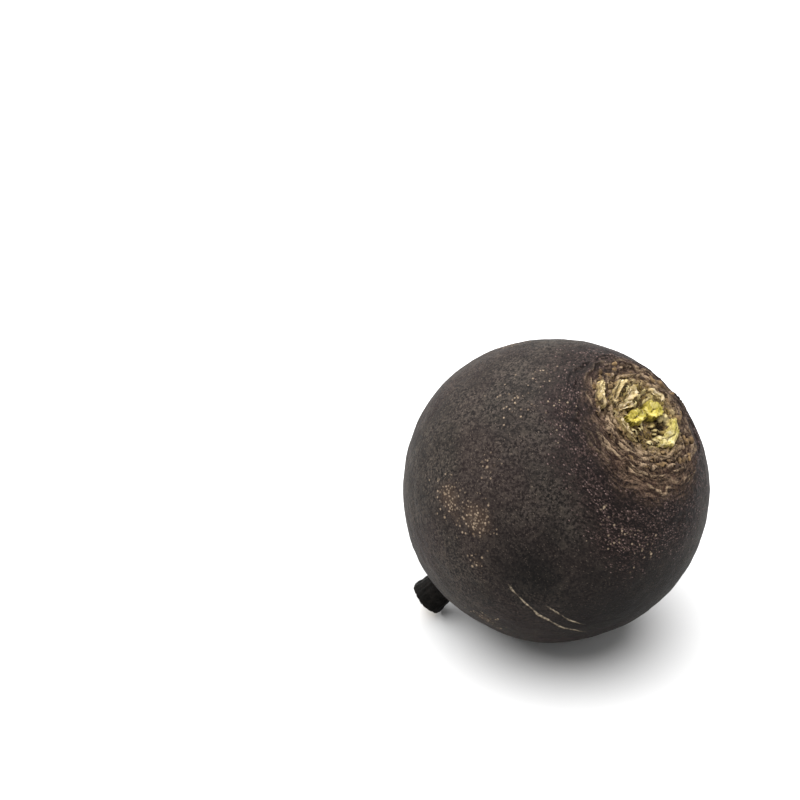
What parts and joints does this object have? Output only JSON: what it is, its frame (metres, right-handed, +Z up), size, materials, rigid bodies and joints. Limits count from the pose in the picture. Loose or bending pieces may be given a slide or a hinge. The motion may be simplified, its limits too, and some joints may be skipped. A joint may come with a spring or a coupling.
{
  "type": "black radish",
  "caption": "Round black-skinned radish lying on its side, with a cut taproot and short cut leaf stalks on a corky crown.",
  "frame": {"origin": "middle of the small flat spot that the radish rests on", "axes": "+Z up; the crown points up towards +X and a little towards -Y, and the taproot points down towards -X"},
  "size_m": [0.085, 0.0849, 0.0842],
  "materials": {
    "radish_skin": "dry, matte, rough vegetable skin",
    "fresh_stalk": "moist yellow-green cut leaf stalk",
    "dry_stalk": "dried pale cut leaf stalk"
  },
  "bodies": {
    "root": {"radish_root": "radish_skin", "leaf_stalk_1": "fresh_stalk", "leaf_stalk_2": "fresh_stalk", "leaf_stalk_3": "fresh_stalk", "leaf_stalk_4": "dry_stalk", "leaf_stalk_5": "dry_stalk", "leaf_stalk_6": "dry_stalk", "leaf_stalk_7": "dry_stalk", "leaf_stalk_8": "dry_stalk", "leaf_stalk_9": "dry_stalk"}
  },
  "joints": []
}
